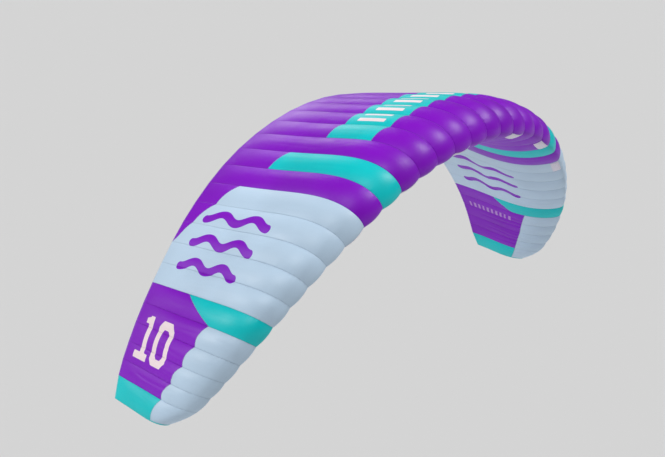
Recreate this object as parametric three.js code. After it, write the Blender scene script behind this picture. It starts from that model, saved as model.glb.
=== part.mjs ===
// Foil kite in flight: an arc of air-filled cloth cells, sewn side by side between ribs.
// Millimetres. +X points the way the kite flies, +Y along the span to the far tip, +Z up.
// The origin is on the lower skin, in the middle of the centre cell, where the middle of the bridle pulls.
import * as THREE from "three";

// Driving dimensions, in millimetres and degrees
const CELLS = 37;
const HALF = CELLS / 2; // ribs are counted from the middle of the centre cell, so by halves
const CENTRE_CELL = (CELLS + 1) / 2;
const TAIL_THICKNESS = 4;
const PIECE_GAP = 0.3;
const BRIDLE_PLACE = 0.3; // share of the centre chord, back from the nose

// The wing's plan and arc, rows through one half, counted in ribs out from the middle of the centre cell.
// span: along the arc from the middle; chord: nose to tail; setback: nose behind the foremost nose;
// lean: how far the wing has turned down; twist: the tail's turn towards the upper skin.
const RIB_TABLE = [
  { rib: 0, span: 0, chord: 1654, setback: 0, lean: 0, twist: 0 },
  { rib: 3, span: 686, chord: 1646, setback: 20, lean: 14.2, twist: -0.5 },
  { rib: 6, span: 1353, chord: 1597, setback: 77, lean: 27.4, twist: -1.6 },
  { rib: 9, span: 1983, chord: 1470, setback: 167, lean: 39.2, twist: -2.7 },
  { rib: 12, span: 2557, chord: 1275, setback: 297, lean: 50.4, twist: -3.2 },
  { rib: 15, span: 3056, chord: 1045, setback: 477, lean: 62.1, twist: -2.6 },
  { rib: 16.5, span: 3272, chord: 916, setback: 587, lean: 68.2, twist: -1.9 },
  { rib: 17.5, span: 3401, chord: 822, setback: 665, lean: 72.3, twist: -1.2 },
];
// The outermost rib is cut shorter than the others' line, and its nose stands a little proud
const TIP_RIB = { span: 3566, chord: 571, setback: 871, lean: 78.1, twist: -0.2, rise: 18 };

// The rib's outline: fullness of the upper and lower edge from nose to tail
const RIB_OUTLINE = [
  { place: "nose", upper: 0.435, lower: 0.187 },
  { place: "fore", upper: 0.312, lower: 0.332 },
  { place: "aft", upper: 0.118, lower: 0.146 },
  { place: "tail", upper: 0.244, lower: 0.105 },
];

// How far a cell's cloth bulges between its ribs, as a share of the cell's width
const BILLOW_CENTRE = 0.12;
const BILLOW_TIP = 0.075;
// The part of that bulge at the nose, and on each skin from NOSE_REACH along the outline
const NOSE_SHARE = 0.7;
const UPPER_SHARE = 1;
const LOWER_SHARE = 0.5;
const NOSE_REACH = 0.3;
const TAIL_FADE = 8; // the higher, the nearer to the tail the bulge stays full

// Facets: lines along each skin from nose to tail, and sections across a cell
const SKIN_STEPS = 14;
const PLAIN_SECTIONS = [0, 0.25, 0.5, 0.75, 1];
const INTAKE_SECTIONS = [0, 0.04, 0.26, 0.5, 0.74, 0.96, 1];

// Intake covers on the lower skin
const INTAKE_CELLS = [11, 14, 17, 21, 24, 27];
const INTAKE_THICKNESS = 1.5;
const INTAKE_LIFT = 0.5; // clear of the skin below it
const INTAKE_FIRST_STEP = 1; // steps back from the nose
const INTAKE_LAST_STEP = 3;

// End panels
const END_DEPTH = 0.35; // bulge, as a share of the rib's own half thickness
const END_ARC_STEPS = 6;

const PURPLE = 0x7a16b4;
const TEAL = 0x00c3c8;
const PALE = 0xbed2e6;
const INTAKE_WHITE = 0xe6e0f2;

const radians = THREE.MathUtils.degToRad;

// A column of RIB_TABLE at any rib, on a smooth curve through its rows.
// The half wing is mirrored, so the curve passes the centre without a kink.
function column(name, rib) {
  const mirrored = name === "span" || name === "lean" ? -1 : 1;
  const acrossCentre = { at: -RIB_TABLE[1].rib, value: mirrored * RIB_TABLE[1][name] };
  const rows = [acrossCentre, ...RIB_TABLE.map((row) => ({ at: row.rib, value: row[name] }))];
  let i = 1;
  while (i < rows.length - 2 && rib > rows[i + 1].at) {
    i += 1;
  }
  const slope = (j) => {
    const before = rows[Math.max(j - 1, 0)];
    const after = rows[Math.min(j + 1, rows.length - 1)];
    return (after.value - before.value) / (after.at - before.at);
  };
  const a = rows[i];
  const b = rows[i + 1];
  const length = b.at - a.at;
  const u = (rib - a.at) / length;
  const rise = b.value - a.value;
  const startBend = slope(i) * length - rise;
  const endBend = slope(i + 1) * length - rise;
  return a.value + u * rise + u * (1 - u) * ((1 - u) * startBend - u * endBend);
}

function ribRow(number) {
  if (number === HALF) {
    return TIP_RIB;
  }
  const row = { rise: 0 };
  for (const name of ["span", "chord", "setback", "lean", "twist"]) {
    row[name] = column(name, number);
  }
  return row;
}

// Every rib from the near tip (-Y) to the far tip: its nose, chord and three directions
function makeRibs() {
  const half = [];
  let before = ribRow(0);
  let y = 0;
  let z = 0;
  for (let number = HALF % 1; number <= HALF; number += 1) {
    const row = ribRow(number);
    const width = row.span - before.span;
    const lean = radians((row.lean + before.lean) / 2);
    y += width * Math.cos(lean);
    z -= width * Math.sin(lean);
    half.push({ ...row, y, z });
    before = row;
  }
  const ribs = [];
  for (let index = 0; index <= CELLS; index += 1) {
    const side = Math.sign(index - HALF);
    const row = half[Math.floor(Math.abs(index - HALF))];
    const lean = radians(row.lean) * side;
    const twist = radians(row.twist);
    const out = new THREE.Vector3(0, Math.sin(lean), Math.cos(lean));
    const along = new THREE.Vector3(0, Math.cos(lean), -Math.sin(lean));
    const back = new THREE.Vector3(-Math.cos(twist), 0, 0).addScaledVector(out, Math.sin(twist));
    const up = out.clone().addScaledVector(back, -out.dot(back)).normalize();
    const nose = new THREE.Vector3(-row.setback, side * row.y, row.z).addScaledVector(up, row.rise);
    ribs.push({ nose, chord: row.chord, back, up, along });
  }
  return ribs;
}

// The rib's outline in chords. way runs from -1, the tail of the lower edge, over 0, the nose,
// to 1, the tail of the upper edge.
function outline(way) {
  const x = way * way;
  const blend = [(1 - x) ** 3, 3 * x * (1 - x) ** 2, 3 * x * x * (1 - x), x ** 3];
  const edge = way < 0 ? "lower" : "upper";
  const fullness = RIB_OUTLINE.reduce((sum, row, i) => sum + row[edge] * blend[i], 0);
  return { x, y: way * (1 - x) * fullness };
}

function outlineNormal(way) {
  const step = 1e-4;
  const a = outline(Math.max(way - step, -1));
  const b = outline(Math.min(way + step, 1));
  const length = Math.hypot(b.x - a.x, b.y - a.y);
  return { x: -(b.y - a.y) / length, y: (b.x - a.x) / length };
}

function ribPoint(rib, way) {
  const { x, y } = outline(way);
  const tail = (Math.sign(way) * x * TAIL_THICKNESS) / 2;
  return rib.nose.clone()
    .addScaledVector(rib.back, x * rib.chord)
    .addScaledVector(rib.up, y * rib.chord + tail);
}

function billowShare(way) {
  const behind = way < 0 ? LOWER_SHARE : UPPER_SHARE;
  const reach = THREE.MathUtils.smoothstep(Math.abs(way), 0, NOSE_REACH);
  return THREE.MathUtils.lerp(NOSE_SHARE, behind, reach) * (1 - way ** TAIL_FADE);
}

// A point of a cell's cloth: across from 0 to 1 between its ribs, way along the outline
function clothPoint(ribs, cell, across, way) {
  const near = ribs[cell - 1];
  const far = ribs[cell];
  const point = ribPoint(near, way).lerp(ribPoint(far, way), across);
  const outward = outlineNormal(way);
  const back = near.back.clone().lerp(far.back, across);
  const up = near.up.clone().lerp(far.up, across);
  const fromCentre = Math.abs(cell - 0.5 - HALF) / HALF;
  const billow = THREE.MathUtils.lerp(BILLOW_CENTRE, BILLOW_TIP, fromCentre);
  const width = near.nose.distanceTo(far.nose);
  const bulge = billow * width * 4 * across * (1 - across) * billowShare(way);
  point.addScaledVector(back, outward.x * bulge);
  point.addScaledVector(up, outward.y * bulge);
  if (across === 0) {
    point.addScaledVector(near.along, PIECE_GAP / 2);
  }
  if (across === 1) {
    point.addScaledVector(far.along, -PIECE_GAP / 2);
  }
  return point;
}

function clothNormal(ribs, cell, across, way) {
  const step = 1e-3;
  const a = clothPoint(ribs, cell, across - step, way);
  const b = clothPoint(ribs, cell, across + step, way);
  const c = clothPoint(ribs, cell, across, way - step);
  const d = clothPoint(ribs, cell, across, way + step);
  return d.sub(c).cross(b.sub(a)).normalize().negate();
}

function meshOf(name, points, faces, color) {
  const geometry = new THREE.BufferGeometry();
  const values = points.flatMap((point) => [point.x, point.y, point.z]);
  geometry.setAttribute("position", new THREE.Float32BufferAttribute(values, 3));
  geometry.setIndex(faces.flat());
  geometry.computeVertexNormals();
  const material = new THREE.MeshStandardMaterial({ color, roughness: 0.5, metalness: 0 });
  const mesh = new THREE.Mesh(geometry, material);
  mesh.name = name;
  return mesh;
}

// The ways of the lines round a cell, from the lower tail over the nose to the upper tail
function loopWays() {
  return Array.from({ length: 2 * SKIN_STEPS + 1 }, (_, i) => (i - SKIN_STEPS) / SKIN_STEPS);
}

// Faces between two neighbouring loops of `size` points that start at a and b
function band(a, b, size) {
  const faces = [];
  for (let i = 0; i < size; i += 1) {
    const j = (i + 1) % size;
    faces.push([a + i, b + j, a + j], [a + i, b + i, b + j]);
  }
  return faces;
}

// A flat rib face: strips between the lower and the upper edge, closed at the nose
function ribFace(start, flipped) {
  const nose = start + SKIN_STEPS;
  const faces = [];
  for (let i = 0; i < SKIN_STEPS; i += 1) {
    const low = nose - i;
    const high = nose + i;
    if (i > 0) {
      faces.push([low, high, high + 1]);
    }
    faces.push([low, high + 1, low - 1]);
  }
  return flipped ? faces.map(([a, b, c]) => [a, c, b]) : faces;
}

function makeCell(ribs, cell) {
  const sections = INTAKE_CELLS.includes(cell) ? INTAKE_SECTIONS : PLAIN_SECTIONS;
  const ways = loopWays();
  const points = sections.flatMap((across) => ways.map((way) => clothPoint(ribs, cell, across, way)));
  const faces = [];
  for (let i = 0; i + 1 < sections.length; i += 1) {
    faces.push(...band(i * ways.length, (i + 1) * ways.length, ways.length));
  }
  faces.push(...ribFace(0, false));
  faces.push(...ribFace((sections.length - 1) * ways.length, true));
  const name = `cell_${String(cell).padStart(2, "0")}`;
  return meshOf(name, points, faces, cellColor(cell));
}

// The colour that covers most of a cell; both halves of the wing are alike
function cellColor(cell) {
  const fromTip = Math.min(cell, CELLS + 1 - cell);
  if (fromTip === 1 || fromTip === 13) {
    return TEAL;
  }
  return fromTip >= 7 && fromTip <= 11 ? PALE : PURPLE;
}

// A thin cover laid over the lower skin just behind the nose
function makeIntake(ribs, cell) {
  const columns = INTAKE_SECTIONS.slice(1, -1);
  const rows = INTAKE_LAST_STEP - INTAKE_FIRST_STEP + 1;
  const points = [];
  for (const height of [INTAKE_LIFT, INTAKE_LIFT + INTAKE_THICKNESS]) {
    for (let row = 0; row < rows; row += 1) {
      const way = -(INTAKE_FIRST_STEP + row) / SKIN_STEPS;
      for (const across of columns) {
        const point = clothPoint(ribs, cell, across, way);
        points.push(point.addScaledVector(clothNormal(ribs, cell, across, way), height));
      }
    }
  }
  const wide = columns.length;
  const layer = rows * wide;
  const faces = [];
  const quad = (a, b, c, d) => faces.push([a, c, b], [a, d, c]);
  for (let row = 0; row + 1 < rows; row += 1) {
    for (let i = 0; i + 1 < wide; i += 1) {
      const a = row * wide + i;
      const next = a + wide;
      // the same diagonal as the skin below
      faces.push([next, a, a + 1], [next, a + 1, next + 1]);
      faces.push([layer + next, layer + a + 1, layer + a], [layer + next, layer + next + 1, layer + a + 1]);
    }
  }
  const rim = [];
  for (let i = 0; i < wide - 1; i += 1) {
    rim.push(i);
  }
  for (let row = 0; row < rows - 1; row += 1) {
    rim.push(row * wide + wide - 1);
  }
  for (let i = wide - 1; i > 0; i -= 1) {
    rim.push((rows - 1) * wide + i);
  }
  for (let row = rows - 1; row > 0; row -= 1) {
    rim.push(row * wide);
  }
  rim.forEach((a, i) => {
    const b = rim[(i + 1) % rim.length];
    quad(a, b, layer + b, layer + a);
  });
  return meshOf(`intake_${cell}`, points, faces, INTAKE_WHITE);
}

// The domed panel that closes a tip: half rings from the upper to the lower edge, nose to tail
function makeEndPanel(ribs, index, name) {
  const rib = ribs[index];
  const side = index === 0 ? -1 : 1;
  const points = [];
  for (let i = 0; i <= SKIN_STEPS; i += 1) {
    const high = ribPoint(rib, i / SKIN_STEPS);
    const low = ribPoint(rib, -i / SKIN_STEPS);
    const middle = high.clone().lerp(low, 0.5);
    const radius = high.clone().sub(low).multiplyScalar(0.5);
    const depth = radius.length() * END_DEPTH;
    const turns = i === 0 ? 0 : END_ARC_STEPS;
    for (let turn = 0; turn <= turns; turn += 1) {
      const angle = (Math.PI * turn) / END_ARC_STEPS;
      const reach = PIECE_GAP / 2 + depth * Math.sin(angle);
      points.push(middle.clone()
        .addScaledVector(radius, Math.cos(angle))
        .addScaledVector(rib.along, side * reach));
    }
  }
  const ringStart = (i) => (i === 0 ? 0 : 1 + (i - 1) * (END_ARC_STEPS + 1));
  const faces = [];
  for (let turn = 0; turn < END_ARC_STEPS; turn += 1) {
    const first = ringStart(1) + turn;
    faces.push([0, first, first + 1]);
    for (let i = 1; i < SKIN_STEPS; i += 1) {
      const a = ringStart(i) + turn;
      const b = ringStart(i + 1) + turn;
      faces.push([a, b, b + 1], [a, b + 1, a + 1]);
    }
  }
  faces.push([0, ringStart(1) + END_ARC_STEPS, ringStart(1)]);
  for (let i = 1; i < SKIN_STEPS; i += 1) {
    const a = ringStart(i);
    const b = ringStart(i + 1);
    faces.push([a, a + END_ARC_STEPS, b], [a + END_ARC_STEPS, b + END_ARC_STEPS, b]);
  }
  const tail = ringStart(SKIN_STEPS);
  for (let turn = 1; turn < END_ARC_STEPS; turn += 1) {
    faces.push([tail, tail + turn + 1, tail + turn]);
  }
  return meshOf(name, points, side < 0 ? faces : faces.map(([a, b, c]) => [a, c, b]), TEAL);
}

const ribs = makeRibs();
const kite = new THREE.Group();
for (let cell = 1; cell <= CELLS; cell += 1) {
  kite.add(makeCell(ribs, cell));
}
for (const cell of INTAKE_CELLS) {
  kite.add(makeIntake(ribs, cell));
}
kite.add(makeEndPanel(ribs, 0, "end_panel_near"));
kite.add(makeEndPanel(ribs, CELLS, "end_panel_far"));

// Shift the whole kite so that the bridle's pull point is the origin
const pullPoint = clothPoint(ribs, CENTRE_CELL, 0.5, -Math.sqrt(BRIDLE_PLACE));
for (const mesh of kite.children) {
  mesh.position.copy(pullPoint).negate();
}

export default kite;
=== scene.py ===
# %% [markdown]
# # A foil kite in flight
# The real thing is an arched wing of 37 cloth cells. Air blows in through covered openings at the nose
# and keeps every cell tight, so each one bulges between the two ribs that it is sewn to.
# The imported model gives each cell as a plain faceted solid. This lesson rebuilds every cell as fine cloth
# from the same few measures, then adds seams, creases, colour blocks, prints, stitches, light and a camera.

# %% Load the frame
import math

import bpy
import numpy as np
from mathutils import Matrix, Vector


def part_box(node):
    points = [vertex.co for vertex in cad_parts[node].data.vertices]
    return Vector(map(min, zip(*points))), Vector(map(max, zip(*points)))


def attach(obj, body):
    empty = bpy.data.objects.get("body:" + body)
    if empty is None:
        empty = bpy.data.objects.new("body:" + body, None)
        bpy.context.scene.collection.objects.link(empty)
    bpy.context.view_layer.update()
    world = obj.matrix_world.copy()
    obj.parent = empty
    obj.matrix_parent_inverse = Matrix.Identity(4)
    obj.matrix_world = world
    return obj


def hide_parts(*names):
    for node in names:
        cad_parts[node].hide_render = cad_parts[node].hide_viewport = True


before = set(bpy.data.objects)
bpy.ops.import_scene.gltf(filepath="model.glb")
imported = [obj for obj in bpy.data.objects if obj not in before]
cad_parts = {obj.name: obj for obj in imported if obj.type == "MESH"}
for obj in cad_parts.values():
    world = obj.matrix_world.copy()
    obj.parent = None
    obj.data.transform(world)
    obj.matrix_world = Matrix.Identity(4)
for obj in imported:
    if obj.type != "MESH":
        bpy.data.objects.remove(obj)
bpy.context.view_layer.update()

# %% Helpers for short tables and for the scene
def table(columns, *rows):
    """Rows of values under column names that are written once."""
    return [dict(zip(columns.split(), row)) for row in rows]


def link(piece):
    bpy.context.scene.collection.objects.link(piece)
    return piece


# %% [markdown]
# ## The camera
# The picture was taken from in front of the near tip and a little above the wing. A camera can be aimed
# with constraints, but a matrix from four plain measures (place, azimuth, elevation and roll) is exact.
# Azimuth 0 looks along +Y, and azimuth 90 along -X.

# %% Camera
CAMERA_PLACE = Vector((4.6899, -7.9769, 2.1729))
CAMERA_AZIMUTH = math.radians(35.612)
CAMERA_ELEVATION = math.radians(18.150)
CAMERA_ROLL = math.radians(4.982)
CAMERA_LENS_MM = 60.914


def camera_axes():
    """The camera's right, up and backward directions."""
    level = Vector((math.cos(CAMERA_AZIMUTH), math.sin(CAMERA_AZIMUTH), 0))
    backward = Vector((
        math.sin(CAMERA_AZIMUTH) * math.cos(CAMERA_ELEVATION),
        -math.cos(CAMERA_AZIMUTH) * math.cos(CAMERA_ELEVATION),
        math.sin(CAMERA_ELEVATION),
    ))
    upright = backward.cross(level)
    right = level * math.cos(CAMERA_ROLL) + upright * math.sin(CAMERA_ROLL)
    return right, backward.cross(right), backward


def make_camera():
    data = bpy.data.cameras.new("photo_camera")
    data.lens = CAMERA_LENS_MM
    data.sensor_width = 36
    data.clip_end = 500
    camera = link(bpy.data.objects.new("photo_camera", data))
    turn = Matrix(camera_axes()).transposed()
    camera.matrix_world = Matrix.Translation(CAMERA_PLACE) @ turn.to_4x4()
    bpy.context.scene.camera = camera


make_camera()
print("camera at", tuple(CAMERA_PLACE), "looking along", tuple(-camera_axes()[2]))

# %% [markdown]
# ## The wing's plan
# A maker draws a kite's wing rib by rib. Each row gives a place of one half, counted in ribs out from the
# middle of the centre cell: how far along the arc it is, the chord from nose to tail, how far the nose is
# set back, how far the wing has turned down, and how much the tail is turned up. The measures are metres
# and degrees. A smooth curve through the rows gives the ribs, which stand at 0.5, 1.5 and so on.

# %% Plan and rib table
CELLS = 37
HALF = CELLS / 2
CENTRE_CELL = (CELLS + 1) // 2
TAIL_THICKNESS = 0.004
PIECE_GAP = 0.0003
BRIDLE_PLACE = 0.3

RIB_TABLE = table(
    "rib span chord setback lean twist",
    (0, 0.0, 1.654, 0.0, 0.0, 0.0),
    (3, 0.686, 1.646, 0.020, 14.2, -0.5),
    (6, 1.353, 1.597, 0.077, 27.4, -1.6),
    (9, 1.983, 1.470, 0.167, 39.2, -2.7),
    (12, 2.557, 1.275, 0.297, 50.4, -3.2),
    (15, 3.056, 1.045, 0.477, 62.1, -2.6),
    (16.5, 3.272, 0.916, 0.587, 68.2, -1.9),
    (17.5, 3.401, 0.822, 0.665, 72.3, -1.2),
)
TIP_RIB = {"span": 3.566, "chord": 0.571, "setback": 0.871, "lean": 78.1, "twist": -0.2, "rise": 0.018}


def column(name, rib):
    """A column of the table at any rib, on a smooth curve that passes the centre without a kink."""
    mirrored = -1 if name in ("span", "lean") else 1
    places = [-RIB_TABLE[1]["rib"]] + [row["rib"] for row in RIB_TABLE]
    values = [mirrored * RIB_TABLE[1][name]] + [row[name] for row in RIB_TABLE]
    last = len(places) - 1
    i = 1
    while i < last - 1 and rib > places[i + 1]:
        i += 1

    def slope(j):
        a, b = max(j - 1, 0), min(j + 1, last)
        return (values[b] - values[a]) / (places[b] - places[a])

    length = places[i + 1] - places[i]
    u = (rib - places[i]) / length
    rise = values[i + 1] - values[i]
    start_bend = slope(i) * length - rise
    end_bend = slope(i + 1) * length - rise
    return values[i] + u * rise + u * (1 - u) * ((1 - u) * start_bend - u * end_bend)


def rib_row(number):
    if number == HALF:
        return TIP_RIB
    names = ("span", "chord", "setback", "lean", "twist")
    return {"rise": 0.0, **{name: column(name, number) for name in names}}


def unit(v):
    return v / np.linalg.norm(v, axis=-1, keepdims=True)


def make_ribs():
    """Nose, chord and directions of every rib, from the near tip at -Y to the far tip."""
    half, before, y, z = [], rib_row(0), 0.0, 0.0
    for number in np.arange(HALF % 1, HALF + 0.1):
        row = rib_row(number)
        width = row["span"] - before["span"]
        lean = math.radians((row["lean"] + before["lean"]) / 2)
        y += width * math.cos(lean)
        z -= width * math.sin(lean)
        half.append({**row, "y": y, "z": z})
        before = row
    ribs = {name: [] for name in ("nose", "chord", "back", "up", "along")}
    for index in range(CELLS + 1):
        side = np.sign(index - HALF)
        row = half[int(abs(index - HALF))]
        lean = math.radians(row["lean"]) * side
        twist = math.radians(row["twist"])
        out = np.array([0, math.sin(lean), math.cos(lean)])
        back = np.array([-math.cos(twist), 0, 0]) + out * math.sin(twist)
        up = unit(out - back * (out @ back))
        ribs["nose"].append(np.array([-row["setback"], side * row["y"], row["z"]]) + up * row["rise"])
        ribs["chord"].append(row["chord"])
        ribs["back"].append(back)
        ribs["up"].append(up)
        ribs["along"].append(np.array([0, math.cos(lean), -math.sin(lean)]))
    return {name: np.array(values) for name, values in ribs.items()}


ribs = make_ribs()
print("flat span", 2 * TIP_RIB["span"], "m, centre chord", RIB_TABLE[0]["chord"], "m")

# %% [markdown]
# ## The rib's outline
# A rib is the wing's cross-section: a round nose, the fullest place at about a third, and a thin tail.
# It could be drawn point by point. Here one formula makes it from eight fullness numbers, and the letter
# `way` walks round it: -1 is the tail of the lower edge, 0 the nose and 1 the tail of the upper edge.
# The share of the chord is way squared, which packs the points where the nose is tightly curved.

# %% Outline
OUTLINE_UPPER = (0.435, 0.312, 0.118, 0.244)
OUTLINE_LOWER = (0.187, 0.332, 0.146, 0.105)


def outline(way):
    """Share of the chord and height in chords, at way along the outline."""
    x = way * way
    blend = ((1 - x) ** 3, 3 * x * (1 - x) ** 2, 3 * x * x * (1 - x), x ** 3)
    upper = sum(full * part for full, part in zip(OUTLINE_UPPER, blend))
    lower = sum(full * part for full, part in zip(OUTLINE_LOWER, blend))
    return x, way * (1 - x) * np.where(way < 0, lower, upper)


def outline_normal(way):
    """The outline's outward direction, as amounts of back and up."""
    step = 1e-4
    ax, ay = outline(np.maximum(way - step, -1))
    bx, by = outline(np.minimum(way + step, 1))
    length = np.hypot(bx - ax, by - ay)
    return -(by - ay) / length, (bx - ax) / length


def rib_point(rib, way):
    x, y = outline(way)
    chord = ribs["chord"][rib]
    tail = np.sign(way) * x * TAIL_THICKNESS / 2
    point = ribs["nose"][rib] + ribs["back"][rib] * (x * chord)[..., None]
    return point + ribs["up"][rib] * (y * chord + tail)[..., None]


print("a rib is", round(float(np.diff(outline(np.array([-0.5, 0.5]))[1])[0]), 3), "chords thick at a quarter")

# %% [markdown]
# ## A tight cell
# Between its ribs the cloth bulges like a bolster. The bulge is a parabola across the cell, so it meets the
# seam in a crisp valley, and it is strongest on the upper skin, softer on the lower one.
# Blender could blow the cells up with its cloth solver, but a tight cell on stiff ribs has just this shape,
# and a formula keeps the seams of neighbouring cells exactly together.

# %% Bulge of a cell
BILLOW_CENTRE = 0.12
BILLOW_TIP = 0.075
NOSE_SHARE = 0.7
UPPER_SHARE = 1.0
LOWER_SHARE = 0.5
NOSE_REACH = 0.3
TAIL_FADE = 8


def smooth(value, low, high):
    t = np.clip((value - low) / (high - low), 0, 1)
    return t * t * (3 - 2 * t)


def cell_width(cell):
    return float(np.linalg.norm(ribs["nose"][cell] - ribs["nose"][cell - 1]))


def billow(cell, way):
    """Height of the bulge at the middle of a cell, in metres."""
    from_centre = abs(cell - 0.5 - HALF) / HALF
    share = BILLOW_CENTRE + (BILLOW_TIP - BILLOW_CENTRE) * from_centre
    behind = np.where(way < 0, LOWER_SHARE, UPPER_SHARE)
    reach = smooth(np.abs(way), 0, NOSE_REACH)
    along = NOSE_SHARE + (behind - NOSE_SHARE) * reach
    return share * cell_width(cell) * along * (1 - way ** TAIL_FADE)


def between(cell, across, values):
    """A rib value between a cell's two ribs."""
    a, b = values[cell - 1], values[cell]
    t = across[..., None] if np.ndim(a) else across
    return a + (b - a) * t


# %% [markdown]
# ## Small unevenness
# Sewn cloth is never perfectly even. Three things show on such a kite: short puckers where the cloth is
# gathered at a rib seam, long soft creases along the chord, and the doubled hem at the tail. They could be
# painted as bump only, but real height keeps them in the mesh too. The puckers and faint creases are drawn
# from a fixed seed, and the plain creases near the tips are listed where they show.

# %% Puckers, creases and hem
PUCKER_PITCH = 0.055
PUCKER_HEIGHT = 0.0010
PUCKER_REACH = 0.024
PUCKER_NOSE_RUN = 0.35
PUCKER_DRIFT, PUCKER_DRIFT_LENGTH = 1.7, 5.3
PUCKER_PATCHES, PUCKER_PATCH_LENGTH = 0.45, 11
PUCKER_AFT, PUCKER_AT_NOSE, PUCKER_NOSE_REACH = 0.8, 0.7, 0.3
SEAM_REACH = 0.004
HEM_WIDTH = 0.015
HEM_HEIGHT = 0.0008
HEM_STEP = 0.003
FAINT_CREASES = 3
FAINT_LOWER_DEPTH = 1.6
CREASE_START_FADE = 0.08
CREASE_END_FADE = (0.1, 0.04)
CREASE_WANDER, CREASE_WAVES, CREASE_PHASE = 0.05, 9, 20
CREASE_SEAM_RISE = 6
UPPER, LOWER = 1, -1

# the plain creases: place across the cell, start and end as shares of the chord, and size in metres
CREASE_TABLE = table(
    "cell skin across start end depth width",
    (2, UPPER, 0.62, 0.30, 0.78, 0.0030, 0.013),
    (3, UPPER, 0.35, 0.32, 0.60, 0.0034, 0.014),
    (3, UPPER, 0.72, 0.42, 0.85, 0.0024, 0.012),
    (4, UPPER, 0.40, 0.33, 0.66, 0.0030, 0.015),
    (5, UPPER, 0.55, 0.34, 0.80, 0.0026, 0.016),
    (7, UPPER, 0.30, 0.30, 0.72, 0.0022, 0.016),
    (9, UPPER, 0.66, 0.40, 0.88, 0.0020, 0.018),
    (27, LOWER, 0.50, 0.25, 0.90, 0.0030, 0.014),
    (28, LOWER, 0.30, 0.45, 0.95, 0.0030, 0.012),
    (29, LOWER, 0.60, 0.35, 0.92, 0.0034, 0.014),
    (31, LOWER, 0.45, 0.20, 0.75, 0.0030, 0.013),
    (33, LOWER, 0.60, 0.30, 0.85, 0.0036, 0.014),
    (34, LOWER, 0.38, 0.28, 0.80, 0.0036, 0.013),
    (35, LOWER, 0.55, 0.22, 0.75, 0.0032, 0.013),
    (36, LOWER, 0.42, 0.20, 0.70, 0.0030, 0.012),
)

random = np.random.default_rng(36)
pucker_phases = random.uniform(0, 2 * math.pi, (CELLS + 1, 2, 3))


def faint_creases():
    """Rows like CREASE_TABLE's, a few on each skin of every cell."""
    rows = []
    for cell in range(1, CELLS + 1):
        for skin in (UPPER, LOWER):
            for _ in range(FAINT_CREASES):
                start = random.uniform(0.05, 0.6)
                rows.append({
                    "cell": cell,
                    "skin": skin,
                    "across": random.uniform(0.15, 0.85),
                    "start": start,
                    "end": start + random.uniform(0.2, 0.4),
                    "depth": random.uniform(0.0004, 0.0013) * (1.0 if skin == UPPER else FAINT_LOWER_DEPTH),
                    "width": random.uniform(0.010, 0.020),
                })
    return rows


creases = CREASE_TABLE + faint_creases()
print(len(creases), "creases,", len(CREASE_TABLE), "of them placed by hand")


def puckers(rib, from_seam, way):
    """Ripples that run away from a rib seam and fade a few centimetres from it."""
    chord = ribs["chord"][rib]
    tighter = PUCKER_NOSE_RUN + (1 - PUCKER_NOSE_RUN) * np.abs(way)
    run = 2 * math.pi * chord * np.abs(way) * tighter / PUCKER_PITCH
    phase = np.where((way < 0)[..., None], pucker_phases[rib, 0], pucker_phases[rib, 1])
    drift = PUCKER_DRIFT * np.sin(run / PUCKER_DRIFT_LENGTH + phase[..., 0])
    ripple = np.sin(run + drift + phase[..., 1])
    patches = 1 + PUCKER_PATCHES * (np.sin(run / PUCKER_PATCH_LENGTH + phase[..., 2]) - 1)
    fade = np.exp(-from_seam / PUCKER_REACH) * (1 - np.exp(-from_seam / SEAM_REACH))
    at_nose = PUCKER_AFT + PUCKER_AT_NOSE * np.exp(-((way / PUCKER_NOSE_REACH) ** 2))
    return PUCKER_HEIGHT * ripple * patches * fade * at_nose * (1 - way ** TAIL_FADE)


def relief(cell, across, way):
    """Height of the small unevenness over the smooth cloth, in metres."""
    across, way = np.broadcast_arrays(across, way)
    width = cell_width(cell)
    x = way * way
    height = puckers(cell - 1, across * width, way) + puckers(cell, (1 - across) * width, way)
    for row in creases:
        if row["cell"] != cell:
            continue
        here = np.sign(way) == row["skin"]
        start, end = row["start"], row["end"]
        begins = smooth(x, start - CREASE_START_FADE, start + CREASE_START_FADE)
        ends = begins * (1 - smooth(x, end - CREASE_END_FADE[0], end + CREASE_END_FADE[1]))
        wander = CREASE_WANDER * np.sin(CREASE_WAVES * x + row["across"] * CREASE_PHASE)
        gap = (across - row["across"] - wander) * width / row["width"]
        at_seam = np.minimum(1, CREASE_SEAM_RISE * np.minimum(across, 1 - across))
        height = height - here * ends * at_seam * row["depth"] * np.exp(-gap * gap)
    to_tail = (1 - x) * between(cell, across, ribs["chord"])
    return height + HEM_HEIGHT * (1 - smooth(to_tail, HEM_WIDTH, HEM_WIDTH + HEM_STEP))


def cloth_point(cell, across, way, lift=0.0, uneven=True):
    """Points of a cell's outer cloth. across runs from 0 to 1 between its ribs, way along the outline."""
    across, way = np.broadcast_arrays(np.asarray(across, float), np.asarray(way, float))
    a, b = rib_point(cell - 1, way), rib_point(cell, way)
    point = a + (b - a) * across[..., None]
    to_back, to_up = outline_normal(way)
    height = billow(cell, way) * 4 * across * (1 - across) + lift
    if uneven:
        height = height + relief(cell, across, way)
    point = point + between(cell, across, ribs["back"]) * (to_back * height)[..., None]
    point = point + between(cell, across, ribs["up"]) * (to_up * height)[..., None]
    edge = np.where(across == 0, PIECE_GAP / 2, 0) - np.where(across == 1, PIECE_GAP / 2, 0)
    return point + between(cell, across, ribs["along"]) * edge[..., None]


# The whole kite is shifted so that the bridle's pull point, under the centre cell, is the origin
ribs["nose"] -= cloth_point(CENTRE_CELL, 0.5, -math.sqrt(BRIDLE_PLACE), uneven=False)
print("bulge of the centre cell", round(float(billow(CENTRE_CELL, np.array(0.5))) * 1000, 1), "mm")

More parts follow.
